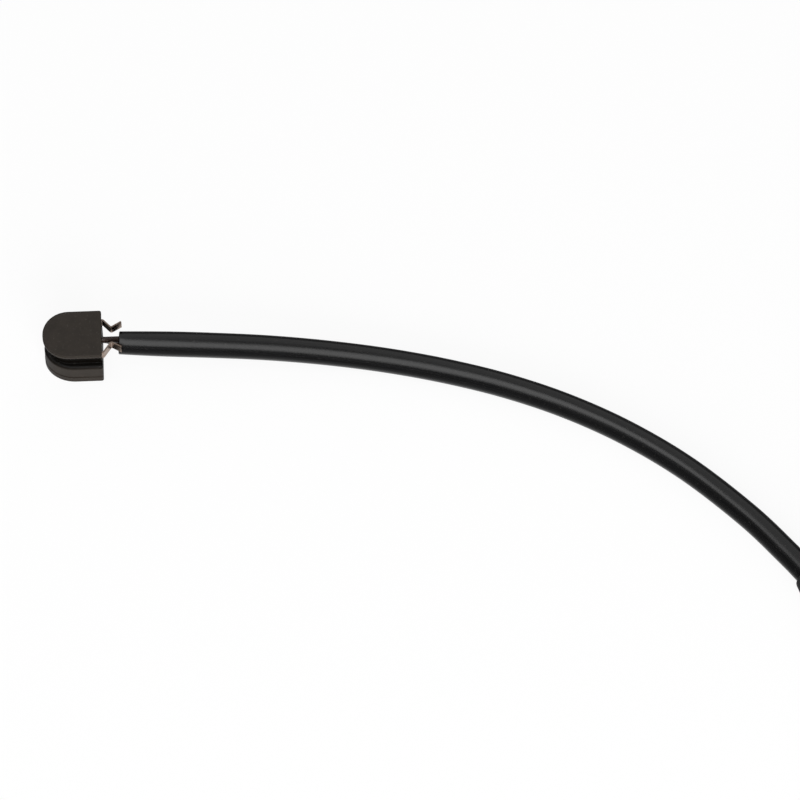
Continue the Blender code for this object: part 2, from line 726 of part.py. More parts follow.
def box(low, high):
    """A box between two corners."""
    bm = bmesh.new()
    bmesh.ops.create_cube(bm, size=1.0)
    low = Vector(low)
    high = Vector(high)
    bmesh.ops.scale(bm, verts=bm.verts, vec=high - low)
    return shift(bm, (low + high) / 2)


def rounded_rectangle(width, height, corner, steps=CORNER_STEPS + 1):
    """Points (y, z) of a rectangle with rounded corners, centred on the axis."""
    quarter = math.radians(90)
    y = width / 2 - corner
    z = height / 2 - corner
    size = (corner, corner)
    outline = []
    for index, centre in enumerate(((y, z), (-y, z), (-y, -z), (y, -z))):
        outline += arc(centre, size, quarter * index, quarter * (index + 1), steps)
    return outline


def prism(stations):
    """Lofts rounded rectangles (x, width, height, corner) along the connector's axis."""
    return loft([[(x, y, z) for y, z in rounded_rectangle(*shape)] for x, *shape in stations])


def build_connector(plastic, rubber, silicone, tinned, insulation, lock_plastic):
    """The two-way sealed connector with its strain relief, on an empty that lays it beside the coil."""
    seat = bpy.data.objects.new("connector_axis", None)
    bpy.context.collection.objects.link(seat)
    seat.location = COIL_CENTRE + Vector((COIL_MEAN_RADIUS, BOOT_BEYOND_COIL, connector_axis_height()))
    seat.rotation_euler = (0.0, 0.0, math.radians(90))
    cover_start = BOOT_LENGTH + CLEARANCE
    housing_start = cover_start + COVER_THICKNESS + CLEARANCE
    build_boot(rubber, seat)
    build_cover(plastic, seat, cover_start)
    build_housing(plastic, seat, housing_start)
    build_connector_inside(silicone, tinned, insulation, seat, housing_start)
    build_nose_parts(silicone, lock_plastic, seat, housing_start)


def build_boot(rubber, seat):
    """Tapered strain relief with bending grooves, bored for the sleeve and for the cover's spigot."""
    small = BOOT_SMALL_DIAMETER / 2
    large = BOOT_LARGE_DIAMETER / 2
    bore = SLEEVE_DIAMETER / 2 + CLEARANCE
    chamber = SPIGOT_DIAMETER / 2 + CLEARANCE
    pitch = BOOT_SLEEVE_SEAT / (BOOT_GROOVES + 1)
    outside = [(0.0, small - EDGE_RADIUS), (EDGE_RADIUS, small)]
    for index in range(BOOT_GROOVES):
        start = pitch * (index + BOOT_FIRST_GROOVE)
        radius = small + (large - small) * start / BOOT_LENGTH
        low = radius - BOOT_GROOVE_DEPTH
        outside += [(start, radius), (start + EDGE_RADIUS / 2, low)]
        outside += [(start + BOOT_GROOVE_WIDTH, low), (start + BOOT_GROOVE_WIDTH + EDGE_RADIUS / 2, radius)]
    outside += [(BOOT_SLEEVE_SEAT + pitch / 2, large), (BOOT_LENGTH - EDGE_RADIUS, large)]
    outside += [(BOOT_LENGTH, large - EDGE_RADIUS)]
    inside = [(BOOT_LENGTH, chamber), (BOOT_SLEEVE_SEAT, chamber), (BOOT_SLEEVE_SEAT, bore), (0.0, bore)]
    boot = turned(outside + inside, LARGE_SIDES, ring=True)
    place("strain_relief", finish_mesh("strain_relief", boot), rubber, seat)


def build_cover(plastic, seat, start):
    """Rear cover: a plate over the wire seals, with the hollow spigot that the strain relief grips."""
    edge = EDGE_RADIUS
    plate = (CONNECTOR_WIDTH, CONNECTOR_HEIGHT, CONNECTOR_CORNER)
    drawn = (CONNECTOR_WIDTH - 2 * edge, CONNECTOR_HEIGHT - 2 * edge, CONNECTOR_CORNER - edge)
    end = start + COVER_THICKNESS
    stations = [(start, *drawn), (start + edge, *plate), (end, *plate)]
    cover = place("rear_cover", finish_mesh("rear_cover", prism(stations)), plastic, seat)
    spigot = cylinder(start - SPIGOT_LENGTH, start + COVER_WEB / 2, SPIGOT_DIAMETER / 2, ROUND_SIDES)
    combine(cover, as_tool("add_spigot", finish_mesh("spigot", spigot), seat), "UNION")
    hollow = cylinder(start - SPIGOT_LENGTH - CUT_OVERRUN, end - COVER_WEB, SPIGOT_BORE / 2, ROUND_SIDES)
    combine(cover, as_tool("cut_spigot", finish_mesh("spigot_bore", hollow), seat), "DIFFERENCE")
    for side in (-1, 1):
        hole = cylinder(start, end + CUT_OVERRUN, WIRE_DIAMETER / 2 + CLEARANCE)
        data = finish_mesh("cover_hole", shift(hole, (0, side * TERMINAL_PITCH / 2, 0)))
        combine(cover, as_tool(f"cut_cover_hole_{side}", data, seat), "DIFFERENCE")


def cavity_profile(start):
    """Stepped bore for one wire seal and one terminal."""
    seal = WIRE_SEAL_DIAMETER / 2 + CLEARANCE
    barrel = TERMINAL_DIAMETER / 2 + CLEARANCE
    step = start + WIRE_SEAL_LENGTH + 2 * CLEARANCE
    front = start + HOUSING_LENGTH + NOSE_LENGTH + CUT_OVERRUN
    return [
        (start - CUT_OVERRUN, 0.0),
        (start - CUT_OVERRUN, seal),
        (step, seal),
        (step, barrel),
        (front, barrel),
        (front, 0.0),
    ]


def build_housing(plastic, seat, start):
    """Housing: body, keyed nose, sprung latch between two guards, and the terminal cavities."""
    edge = EDGE_RADIUS
    body = (CONNECTOR_WIDTH, CONNECTOR_HEIGHT, CONNECTOR_CORNER)
    drawn = (CONNECTOR_WIDTH - 2 * edge, CONNECTOR_HEIGHT - 2 * edge, CONNECTOR_CORNER - edge)
    nose = (NOSE_WIDTH, NOSE_HEIGHT, NOSE_CORNER)
    tip = (NOSE_WIDTH - 2 * edge, NOSE_HEIGHT - 2 * edge, NOSE_CORNER - edge)
    shoulder = start + HOUSING_LENGTH
    front = shoulder + NOSE_LENGTH
    stations = [(start, *body), (shoulder - edge, *body), (shoulder, *drawn)]
    stations += [(shoulder, *nose), (front - edge, *nose), (front, *tip)]
    housing = place("connector_housing", finish_mesh("connector_housing", prism(stations)), plastic, seat)
    for name, solid in latch_solids(start):
        combine(housing, as_tool(name, finish_mesh(name, solid), seat), "UNION")
    for side in (-1, 1):
        cavity = shift(turned(cavity_profile(start), BORE_SIDES), (0, side * TERMINAL_PITCH / 2, 0))
        tool = as_tool(f"cut_cavity_{side}", finish_mesh("cavity", cavity), seat)
        combine(housing, tool, "DIFFERENCE")
    recess = (LOCK_WIDTH + 2 * CLEARANCE, LOCK_HEIGHT + 2 * CLEARANCE, LOCK_CORNER + CLEARANCE)
    pocket = prism([(front - LOCK_THICKNESS - CLEARANCE, *recess), (front + CUT_OVERRUN, *recess)])
    combine(housing, as_tool("cut_lock_pocket", finish_mesh("lock_pocket", pocket), seat), "DIFFERENCE")


def latch_solids(start):
    """The latch arm as an extruded side profile, and a guard wall at each side of it."""
    top = CONNECTOR_HEIGHT / 2
    under = top + LATCH_GAP
    above = under + LATCH_THICKNESS
    root = start + HOUSING_LENGTH - EDGE_RADIUS * 2
    rear = root - LATCH_LENGTH
    hook = root - LATCH_ROOT_LENGTH * 2
    profile = [
        (root, top - GUARD_SINK),
        (root, above),
        (hook, above),
        (hook, above + LATCH_HOOK_HEIGHT),
        (hook - LATCH_ROOT_LENGTH, above),
        (rear + LATCH_PAD_LENGTH, above),
        (rear + LATCH_PAD_LENGTH / 2, above + LATCH_HOOK_HEIGHT),
        (rear, above + LATCH_HOOK_HEIGHT),
        (rear, under),
        (root - LATCH_ROOT_LENGTH, under),
        (root - LATCH_ROOT_LENGTH, top - GUARD_SINK),
    ]
    half = LATCH_WIDTH / 2
    arm = loft([[(x, y, z) for x, z in profile] for y in (-half, half)])
    solids = [("add_latch", arm)]
    for side in (-1, 1):
        inner = half + LATCH_GAP
        near, far = sorted((side * inner, side * (inner + GUARD_THICKNESS)))
        guard = box((root - GUARD_LENGTH, near, top - GUARD_SINK), (root - EDGE_RADIUS, far, above))
        solids.append((f"add_guard_{side}", guard))
    return solids


def build_connector_inside(silicone, tinned, insulation, seat, start):
    """Wire seals, socket terminals and the wires between the sleeve's end and the terminals."""
    seal_start = start + CLEARANCE
    terminal_start = start + WIRE_SEAL_LENGTH + 3 * CLEARANCE
    sleeve_end = SLEEVE_IN_BOOT + CLEARANCE
    for name, side in (("a", 1), ("b", -1)):
        across = side * TERMINAL_PITCH / 2
        seal = place(f"wire_seal_{name}", finish_mesh("wire_seal", wire_seal(seal_start)), silicone, seat)
        seal.location = (0, across, 0)
        terminal = place(f"terminal_{name}", finish_mesh("terminal", socket_terminal()), tinned, seat)
        terminal.location = (terminal_start, across, 0)
        close = side * WIRE_SPACING / 2
        strip_at = terminal_start - CLEARANCE
        route = [
            Vector((strip_at, across, 0)),
            Vector((start, across, 0)),
            Vector((start - COVER_THICKNESS, across, 0)),
            Vector((BOOT_SLEEVE_SEAT, close + side * CLEARANCE / 2, 0)),
            Vector((sleeve_end, close, 0)),
        ]
        wire = f"tail_wire_{name}"
        place(wire, bare_end_tube(wire, smooth_route(route, TAIL_WIRE_STEP)), insulation, seat)


def ribbed(start, length, ribs, crest):
    """Points (along, height) over a run of seal ribs, from root to root."""
    pitch = length / ribs
    root = crest - RIB_HEIGHT
    points = []
    for index in range(ribs):
        begin = start + pitch * index
        points.append((begin, root))
        points.append((begin + pitch * RIB_CREST_FROM, crest))
        points.append((begin + pitch * RIB_CREST_TO, crest))
    return points + [(start + length, root)]


def wire_seal(start):
    """A ribbed ring that seals one wire in its cavity."""
    bore = WIRE_DIAMETER / 2 + CLEARANCE
    outside = ribbed(start, WIRE_SEAL_LENGTH, WIRE_SEAL_RIBS, WIRE_SEAL_DIAMETER / 2)
    return turned(outside + [(start + WIRE_SEAL_LENGTH, bore), (start, bore)], BORE_SIDES, ring=True)


def socket_terminal():
    """A turned terminal: a crimp socket behind, a pin socket in front, a locating collar between."""
    crimp = CONDUCTOR_DIAMETER / 2 + CLEARANCE
    barrel = TERMINAL_DIAMETER / 2
    slim = barrel - RIB_HEIGHT
    pin = TERMINAL_SOCKET_DIAMETER / 2
    front = TERMINAL_LENGTH
    profile = [
        (TERMINAL_CRIMP_DEPTH, 0.0),
        (TERMINAL_CRIMP_DEPTH, crimp),
        (0.0, crimp),
        (0.0, slim),
        (TERMINAL_CRIMP_DEPTH, slim),
        (TERMINAL_CRIMP_DEPTH + RIB_HEIGHT, barrel),
        (front - TERMINAL_SOCKET_DEPTH, barrel),
        (front - TERMINAL_SOCKET_DEPTH + RIB_HEIGHT, slim),
        (front - RIB_HEIGHT, slim),
        (front, slim - RIB_HEIGHT / 2),
        (front, pin),
        (front - TERMINAL_SOCKET_DEPTH, pin),
        (front - TERMINAL_SOCKET_DEPTH, 0.0),
    ]
    return turned(profile, BORE_SIDES)


def build_nose_parts(silicone, lock_plastic, seat, start):
    """The terminal lock in the nose's front and the ribbed ring seal round its root."""
    shoulder = start + HOUSING_LENGTH
    front = shoulder + NOSE_LENGTH
    plate = (LOCK_WIDTH, LOCK_HEIGHT, LOCK_CORNER)
    solid = prism([(front - LOCK_THICKNESS, *plate), (front, *plate)])
    lock = place("terminal_lock", finish_mesh("terminal_lock", solid), lock_plastic, seat)
    for side in (-1, 1):
        hole = cylinder(front - LOCK_THICKNESS - CUT_OVERRUN, front + CUT_OVERRUN, PIN_HOLE_DIAMETER / 2)
        data = finish_mesh("pin_hole", shift(hole, (0, side * TERMINAL_PITCH / 2, 0)))
        combine(lock, as_tool(f"cut_pin_hole_{side}", data, seat), "DIFFERENCE")
    begin = shoulder + RING_SEAL_SETBACK
    section = [(begin, 0.0)]
    section += ribbed(begin, RING_SEAL_LENGTH, RING_SEAL_RIBS, RING_SEAL_THICKNESS)
    section.append((begin + RING_SEAL_LENGTH, 0.0))
    loops = []
    for x, proud in section:
        grow = 2 * (CLEARANCE + proud)
        outline = rounded_rectangle(NOSE_WIDTH + grow, NOSE_HEIGHT + grow, NOSE_CORNER + grow / 2)
        loops.append([(x, y, z) for y, z in outline])
    place("ring_seal", finish_mesh("ring_seal", loft(loops, closed_ends=False)), silicone, seat)


def main():
    """Builds the whole sensor."""
    clear_scene()
    head_plastic = material("head_plastic", (0.034, 0.030, 0.027), 0.55)
    steel = material("spring_steel", (0.62, 0.55, 0.46), 0.28, 1.0)
    copper = material("copper", (0.72, 0.38, 0.24), 0.35, 1.0)
    tinned = material("tinned_brass", (0.70, 0.68, 0.62), 0.35, 1.0)
    insulation = material("wire_insulation", (0.030, 0.024, 0.026), 0.45)
    sleeve_rubber = material("sleeve_rubber", (0.012, 0.012, 0.012), 0.42)
    grommet_rubber = material("grommet_rubber", (0.016, 0.016, 0.016), 0.60)
    tie_nylon = material("tie_nylon", (0.020, 0.020, 0.021), 0.45)
    connector_plastic = material("connector_plastic", (0.022, 0.022, 0.023), 0.50)
    silicone = material("seal_silicone", (0.30, 0.10, 0.06), 0.55)
    lock_plastic = material("lock_plastic", (0.62, 0.60, 0.54), 0.50)
    build_head(head_plastic)
    build_spring(steel)
    build_contact(copper, tinned)
    build_wires(insulation)
    build_sleeve(sleeve_rubber)
    build_grommet(grommet_rubber)
    build_ties(tie_nylon)
    build_connector(connector_plastic, grommet_rubber, silicone, tinned, insulation, lock_plastic)


main()
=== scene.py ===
# %% [markdown]
# # A brake pad wear sensor, dressed for the render
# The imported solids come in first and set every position.
# They are in metres, with the wear face of the head on the floor at the origin, and nothing here moves them.

import json
import math

import bmesh
import bpy
from mathutils import Matrix, Quaternion, Vector


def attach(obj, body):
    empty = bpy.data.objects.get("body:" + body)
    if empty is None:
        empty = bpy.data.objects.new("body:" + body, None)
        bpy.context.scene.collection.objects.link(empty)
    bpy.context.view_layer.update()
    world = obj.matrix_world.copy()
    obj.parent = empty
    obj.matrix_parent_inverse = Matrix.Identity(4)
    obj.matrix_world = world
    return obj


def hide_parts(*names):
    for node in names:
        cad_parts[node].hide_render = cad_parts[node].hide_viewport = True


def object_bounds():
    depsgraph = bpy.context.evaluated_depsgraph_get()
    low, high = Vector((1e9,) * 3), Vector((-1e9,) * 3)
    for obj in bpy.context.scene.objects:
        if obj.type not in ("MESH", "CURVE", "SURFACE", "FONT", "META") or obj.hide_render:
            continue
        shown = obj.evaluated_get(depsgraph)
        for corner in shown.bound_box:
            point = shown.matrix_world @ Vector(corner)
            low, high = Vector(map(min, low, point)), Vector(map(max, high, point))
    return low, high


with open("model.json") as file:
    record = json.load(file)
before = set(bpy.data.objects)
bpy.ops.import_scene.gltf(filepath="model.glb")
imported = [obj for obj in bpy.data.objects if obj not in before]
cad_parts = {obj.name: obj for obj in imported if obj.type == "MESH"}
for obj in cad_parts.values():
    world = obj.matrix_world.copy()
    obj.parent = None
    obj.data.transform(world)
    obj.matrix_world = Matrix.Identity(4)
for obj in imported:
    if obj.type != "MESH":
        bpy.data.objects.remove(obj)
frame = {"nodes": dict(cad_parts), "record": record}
nodes = frame["nodes"]
cad_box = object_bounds()
scene = bpy.context.scene
box_size = Vector(cad_box[1]) - Vector(cad_box[0])
print("Loaded", len(nodes), "nodes in a box of", [round(v, 4) for v in box_size])

# %% [markdown]
# ## The camera
# The photograph was taken from far away with a long lens, looking down at 60 degrees.
# A far camera keeps the lead equally thick from end to end.
# The camera is also rolled by two degrees, because the sensor lies a little askew in the picture.

# %% Place the camera
MM = 0.001
CAMERA_DISTANCE = 2.5
CAMERA_LENS = 418.8
CAMERA_SENSOR = 36
CAMERA_ROLL = math.radians(2.1)
CAMERA_TILT = math.radians(60)
CAMERA_TARGET = Vector((87.05, -12.27, -7.08)) * MM

looking = Vector((0, math.cos(CAMERA_TILT), -math.sin(CAMERA_TILT)))
plain_up = Vector((0, math.sin(CAMERA_TILT), math.cos(CAMERA_TILT)))
right = Vector((1, 0, 0)) * math.cos(CAMERA_ROLL) - plain_up * math.sin(CAMERA_ROLL)
up = Vector((1, 0, 0)) * math.sin(CAMERA_ROLL) + plain_up * math.cos(CAMERA_ROLL)
turn = Matrix((right, up, -looking)).transposed().to_4x4()
camera = bpy.data.objects.new("camera", bpy.data.cameras.new("camera"))
camera.data.lens = CAMERA_LENS
camera.data.sensor_width = CAMERA_SENSOR
camera.matrix_world = Matrix.Translation(CAMERA_TARGET - looking * CAMERA_DISTANCE) @ turn
scene.collection.objects.link(camera)
scene.camera = camera
print("Camera stands at", [round(v, 3) for v in camera.matrix_world.translation])

# %% [markdown]
# ## The route of the lead
# The sleeved lead leaves the head, bends away in one long curve and ends in a plug.
# The first 0.2 m follows the photograph point by point.
# The rest is wound into two turns beside each other.
# It then passes over them once and runs into the plug's strain relief.
# Distances are in millimetres here, because that is how such a part is drawn, and angles are in degrees.

# %% Route points and the coil's plan
VISIBLE_ROUTE = [
    (12.35, 0.0, 7.80), (20.0, -0.4, 7.53), (36.0, -1.1, 6.73), (52.0, -2.0, 5.70),
    (68.1, -3.7, 4.72), (84.1, -6.3, 3.94), (100.0, -10.1, 3.52), (115.9, -15.3, 3.44),
    (131.7, -22.2, 3.42), (147.3, -31.3, 3.64), (162.7, -43.1, 4.15), (177.9, -58.3, 4.98),
    (187.9, -70.6, 5.65), (193.1, -77.6, 6.00), (197.8, -84.0, 6.00), (202.55, -90.5, 6.00),
    (205.6, -94.7, 5.70),
]
COIL_CENTRE = Vector((243.1, -73.2, 0.0))
COIL_START = -142
COIL_STEP = 8
COIL_POINTS = 108
COIL_LEVEL = 4.65
OVER_LEVEL = 11.45
BOOT_LEVEL = 6.5
BESIDE_RADIUS = 43.35
OUTER_RADIUS = 36.35
INNER_RADIUS = 29.65
OVER_RADIUS = 33.0
RADIUS_CHANGES = [(OUTER_RADIUS, -135, -5), (INNER_RADIUS, 225, 355), (OVER_RADIUS, 545, 645)]
CLIMB = (515, 605)
TOWARD_BOOT = (5.0, 10.0, 14.5, 19.2, 23.8, 28.5, 33.2, 37.8, 42.5, 51.0)
DESCENT = (14.5, 42.5)


def ease(place, start, end):
    """0 before start, 1 after end, and a smooth step between them."""
    share = min(max((place - start) / (end - start), 0.0), 1.0)
    return share * share * (3 - 2 * share)


def coil_point(angle):
    """Where the lead's centre line is after so many degrees round the coil."""
    radius = settled = BESIDE_RADIUS
    for reached, start, end in RADIUS_CHANGES:
        radius += (reached - settled) * ease(angle, start, end)
        settled = reached
    level = COIL_LEVEL + (OVER_LEVEL - COIL_LEVEL) * ease(angle, *CLIMB)
    turned = math.radians(angle)
    return COIL_CENTRE + Vector((radius * math.cos(turned), radius * math.sin(turned), level))


route = [Vector(point) for point in VISIBLE_ROUTE]
route += [coil_point(COIL_START + COIL_STEP * step) for step in range(COIL_POINTS)]
for ahead in TOWARD_BOOT:
    level = OVER_LEVEL + (BOOT_LEVEL - OVER_LEVEL) * ease(ahead, *DESCENT)
    route.append(COIL_CENTRE + Vector((OVER_RADIUS, ahead, level)))
print("Route has", len(route), "points")

# %% [markdown]
# ## A smooth centre line
# A Catmull-Rom curve goes through all the chosen points with no corners.
# It is sampled about every two millimetres, so the tube that follows it looks round where it bends.

# %% Sample the centre line
LEAD_STEP = 2.0


def smooth_line(points, step):
    """Even samples along a Catmull-Rom curve through the points."""
    padded = [2 * points[0] - points[1], *points, 2 * points[-1] - points[-2]]
    line = []
    for p0, p1, p2, p3 in zip(padded, padded[1:], padded[2:], padded[3:]):
        count = max(1, round((p2 - p1).length / step))
        for index in range(count):
            t = index / count
            bend = 2 * p0 - 5 * p1 + 4 * p2 - p3
            twist = 3 * p1 - p0 - 3 * p2 + p3
            line.append(p1 + 0.5 * t * ((p2 - p0) + t * (bend + t * twist)))
    line.append(points[-1].copy())
    return line


lead_line = [point * MM for point in smooth_line(route, LEAD_STEP)]

# %% [markdown]
# ## Sweeping a tube
# A tube is one circle that is extruded from sample to sample.
# Each new ring is turned by the smallest turn that points it along the line, so the tube never twists.
# Each ring is given as a sample of the line, a nudge along it and a radius.
# This lets the same helper roll the wall in at an open end.
# Extruding can list the new faces in any order, so they are sorted at the end and come out alike every time.

# %% The sweep helper
SHARP_ANGLE = math.radians(50)
MORE_THAN_ALL_VERTS = 1000000


def by_corners(element):
    """A number that sorts edges or faces by their lowest vertex and then by their highest."""
    numbers = [vert.index for vert in element.verts]
    return min(numbers) * MORE_THAN_ALL_VERTS + max(numbers)


def frames_along(line):
    """A matrix at each sample of a line, with X pointing along the line."""
    turns = []
    facing = Quaternion((1, 0, 0, 0))
    heading = Vector((1, 0, 0))
    for index, point in enumerate(line):
        ahead = (line[min(index + 1, len(line) - 1)] - line[max(index - 1, 0)]).normalized()
        facing = heading.rotation_difference(ahead) @ facing
        heading = ahead
        turns.append(Matrix.Translation(point) @ facing.to_matrix().to_4x4())
    return turns


def sweep(name, line, rings, sides=32):
    """Extrudes a circle through rings of (sample, nudge, radius), and returns the object with a UV map."""
    frames = frames_along(line)
    travel = [0.0]
    for before, after in zip(line, line[1:]):
        travel.append(travel[-1] + (after - before).length)
    places = []
    for sample, nudge, radius in rings:
        places.append(frames[sample] @ Matrix.Translation((nudge, 0, 0)) @ Matrix.Scale(radius, 4))
    bm = bmesh.new()
    layer = bm.loops.layers.uv.new("UVMap")
    first = places[0] @ Matrix.Rotation(math.radians(90), 4, "Y")
    made = bmesh.ops.create_circle(bm, segments=sides, radius=1.0, cap_ends=False, matrix=first)
    order = {vert: index for index, vert in enumerate(made["verts"])}
    edges = list(bm.edges)
    previous = places[0]
    along = travel[rings[0][0]] + rings[0][1]
    for place, (sample, nudge, _) in zip(places[1:], rings[1:]):
        made = bmesh.ops.extrude_edge_only(bm, edges=edges)
        fresh = [item for item in made["geom"] if isinstance(item, bmesh.types.BMVert)]
        edges = [item for item in made["geom"] if isinstance(item, bmesh.types.BMEdge)]
        faces = [item for item in made["geom"] if isinstance(item, bmesh.types.BMFace)]
        reached = travel[sample] + nudge
        fresh_order = {}
        for vert in fresh:
            beside = [edge.other_vert(vert) for edge in vert.link_edges]
            fresh_order[vert] = next(order[other] for other in beside if other in order)
        bmesh.ops.transform(bm, matrix=place @ previous.inverted(), verts=fresh)
        for face in faces:
            numbers = [fresh_order.get(v, order.get(v)) for v in face.verts]
            wraps = max(numbers) - min(numbers) > 1
            for loop, number in zip(face.loops, numbers):
                round_share = 1.0 if wraps and number == 0 else number / sides
                loop[layer].uv = (reached if loop.vert in fresh_order else along, round_share)
        order, previous, along = fresh_order, place, reached
    bmesh.ops.holes_fill(bm, edges=bm.edges, sides=sides + 1)
    bmesh.ops.recalc_face_normals(bm, faces=bm.faces)
    bm.verts.index_update()
    bm.edges.sort(key=by_corners)
    bm.faces.sort(key=by_corners)
    mesh = bpy.data.meshes.new(name)
    bm.to_mesh(mesh)
    bm.free()
    mesh.shade_smooth()
    mesh.set_sharp_from_angle(angle=SHARP_ANGLE)
    piece = bpy.data.objects.new(name, mesh)
    scene.collection.objects.link(piece)
    return piece


# %% [markdown]
# ## The sleeve
# The sleeve is a soft tube with a thin wall.
# It is open at the head's end, where its rim is drawn in a little round the two wires.
# The rings start inside the bore, roll over the rounded rim and then run along the outside.
# The other end is closed and lies inside the strain relief.
# The first three numbers are radii in millimetres, and the next two are lengths along the lead in metres.

# %% Sweep the sleeve
NARROWEST = 3.1
SWELLING = 0.325
SLIMMING = 0.075
SWELLING_END = 0.018
SLIMMING_RUN = 0.042
MOUTH_RADIUS = NARROWEST * MM
BORE_RADIUS = 2.5 * MM
BORE_SAMPLES = (8, 6, 4, 2)
RIM = (MOUTH_RADIUS - BORE_RADIUS) / 2
RIM_ANGLES = (30, 60, 90, 120, 150, 180)


def sleeve_radius(travelled):
    """Outer radius: small at the mouth, slightly swollen after it, then even."""
    if travelled < SWELLING_END:
        return (NARROWEST + SWELLING * math.sin(math.radians(90) * travelled / SWELLING_END)) * MM
    return (NARROWEST + SWELLING - SLIMMING * min((travelled - SWELLING_END) / SLIMMING_RUN, 1.0)) * MM


sleeve_rings = [(sample, 0.0, BORE_RADIUS) for sample in BORE_SAMPLES]
sleeve_rings += [(0, RIM, BORE_RADIUS)]
for degrees in RIM_ANGLES:
    angle = math.radians(degrees)
    sleeve_rings.append((0, RIM - RIM * math.sin(angle), BORE_RADIUS + RIM - RIM * math.cos(angle)))
travelled = 0.0
for index in range(1, len(lead_line)):
    travelled += (lead_line[index] - lead_line[index - 1]).length
    sleeve_rings.append((index, 0.0, sleeve_radius(travelled)))
sleeve = sweep("lead_sleeve", lead_line, sleeve_rings)
print("Sleeve has", len(sleeve.data.polygons), "faces")

# %% [markdown]
# ## Telling the frame about the cord
# The sleeve takes the place of three plain solids, and the grommet, the ties and the plug lie on it.

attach(sleeve, "root")
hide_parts("sleeve", "sleeve_coil", "sleeve_tail")

# %% [markdown]
# ## The two wires
# Two insulated wires come out of the head one above the other and go into the sleeve's open mouth.
# They are swept like the sleeve, with closed ends that stay hidden in the head and in the sleeve.

# %% Sweep the wires
WIRE_RADIUS = 0.85 * MM
WIRE_END_RADIUS = WIRE_RADIUS * 0.6
WIRE_STEP = 0.5
WIRE_SIDES = 20
WIRE_ROUTES = {
    "wire_a": [
        (1.9, -0.65, 10.78), (7.0, -0.65, 10.78), (8.6, -0.62, 10.7), (10.4, -0.3, 10.15), (12.3, 0.1, 9.45),
        (15.0, 0.2, 8.9), (18.0, 0.1, 8.7),
    ],
    "wire_b": [
        (1.9, 0.65, 8.52), (7.0, 0.65, 8.52), (8.6, 0.64, 8.45), (10.4, 0.52, 7.9), (12.3, 0.4, 7.3),
        (15.0, 0.2, 6.8), (18.0, 0.1, 6.6),
    ],
}
wires = {}
for name, points in WIRE_ROUTES.items():
    line = [point * MM for point in smooth_line([Vector(p) for p in points], WIRE_STEP)]
    rings = [(0, 0.0, WIRE_END_RADIUS)]
    rings += [(index, 0.0, WIRE_RADIUS) for index in range(len(line))]
    rings += [(len(line) - 1, 0.0, WIRE_END_RADIUS)]
    wires[name] = sweep("signal_" + name, line, rings, sides=WIRE_SIDES)
    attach(wires[name], "root")
    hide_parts(name)
    print(name, "has", len(wires[name].data.polygons), "faces")

# %% [markdown]
# ## Materials: the shared helpers
# Every finish here is a Principled BSDF whose colour, roughness and bump come from procedural patterns.
# Effects that several finishes need are node groups, built once.
# They are grain, worn edges with a painted highlight, painted shade in recesses, dust and a tube's own
# directions.
# A group only gives out masks, heights and vectors, so the shader itself stays in each material.

# %% Node helpers
FLOAT = "NodeSocketFloat"
VECTOR = "NodeSocketVector"


def add(tree, kind, **values):
    """Adds a node and sets its properties or its input sockets by name, with _ for a space."""
    node = tree.nodes.new(kind)
    for key, value in values.items():
        if hasattr(node, key):
            setattr(node, key, value)
        else:
            node.inputs[key.replace("_", " ")].default_value = value
    return node


def join(tree, output, *inputs):
    """Links one output socket to several input sockets."""
    for socket in inputs:
        tree.links.new(output, socket)


def calculate(tree, operation, first, second=0.0):
    """A Math node on two values, each a socket or a number."""
    node = add(tree, "ShaderNodeMath", operation=operation)
    for socket, value in zip(node.inputs, (first, second)):
        if isinstance(value, (int, float)):
            socket.default_value = value
        else:
            tree.links.new(value, socket)
    return node.outputs["Value"]


def product(tree, first, *others):
    """Values multiplied by one Math node after another."""
    for other in others:
        first = calculate(tree, "MULTIPLY", first, other)
    return first


def remapped(tree, value, **limits):
    """A value through a Map Range node, whose limits are given by name."""
    node = add(tree, "ShaderNodeMapRange", **limits)
    join(tree, value, node.inputs["Value"])
    return node.outputs["Result"]


def axis_of(tree, vector, axis):
    """One axis of a vector."""
    split = add(tree, "ShaderNodeSeparateXYZ")
    join(tree, vector, split.inputs["Vector"])
    return split.outputs[axis]


def new_group(name, inputs, outputs):
    """An empty shader node group with named sockets, and its two end nodes."""
    group = bpy.data.node_groups.new(name, "ShaderNodeTree")
    for label, kind, default in inputs:
        socket = group.interface.new_socket(label, in_out="INPUT", socket_type=kind)
        if default is not None:
            socket.default_value = default
    for label, kind in outputs:
        group.interface.new_socket(label, in_out="OUTPUT", socket_type=kind)
    return group, group.nodes.new("NodeGroupInput"), group.nodes.new("NodeGroupOutput")


def new_finish(name, **settings):
    """A new material with its tree and its shader, whose own sockets are set by name."""
    material = bpy.data.materials.new(name)
    material.use_nodes = True
    shader = material.node_tree.nodes["Principled BSDF"]
    for key, value in settings.items():
        shader.inputs[key.replace("_", " ")].default_value = value
    return material, material.node_tree, shader


print("Node helpers are ready")

# %% [markdown]
# ### Fine grain
# Moulded plastic and rubber are never perfectly smooth.
# Two noises, one coarse and one fine, give a height for a Bump node and a gentle mottling mask.

